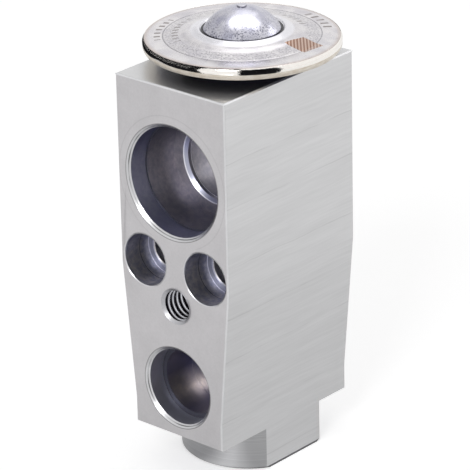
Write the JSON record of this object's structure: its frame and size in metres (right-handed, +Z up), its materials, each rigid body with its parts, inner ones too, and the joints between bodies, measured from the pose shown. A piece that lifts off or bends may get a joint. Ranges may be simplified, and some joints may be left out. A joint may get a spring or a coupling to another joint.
{
  "type": "expansion valve",
  "caption": "Block-type thermostatic expansion valve: tapered aluminium block with suction and liquid ports, fixing holes, a turned foot and a round diaphragm head.",
  "frame": {"origin": "middle of the bounding box in X and Y, at the bottom of the foot", "axes": "+Z up along the valve's axis, from the foot to the diaphragm head; the front face with its ports looks along -Y; +X is to the right of that face"},
  "size_m": [0.0318, 0.0334, 0.0761],
  "materials": {
    "block_aluminium": "milled, satin",
    "cover_steel": "pressed and bright, satin annulus",
    "plated_steel": "pale warm plating, satin",
    "spring_steel": "drawn, satin",
    "seal_rubber": "matt",
    "turned_brass": "turned"
  },
  "bodies": {
    "housing": {"valve_block": "block_aluminium", "head_upper_cover": "cover_steel", "head_lower_cover": "plated_steel", "fill_plug": "cover_steel", "diaphragm": "spring_steel", "head_o_ring": "seal_rubber", "rod_o_ring": "seal_rubber", "rod_retainer": "turned_brass", "valve_spring": "spring_steel", "adjusting_screw": "turned_brass", "adjuster_o_ring": "seal_rubber"},
    "valve_train": {"diaphragm_pad": "turned_brass", "sensor_rod": "block_aluminium", "valve_pin": "spring_steel", "valve_ball": "spring_steel", "ball_carrier": "turned_brass", "damper_ring": "spring_steel"}
  },
  "joints": [
    {"name": "valve_lift", "type": "slide", "parent": "housing", "child": "valve_train", "axis": [0, 0, -1], "range_m": [0, 0.0008], "stiffness_N_per_m": 2000, "springref_m": -0.003, "deforming": ["valve_spring", "diaphragm"]}
  ]
}
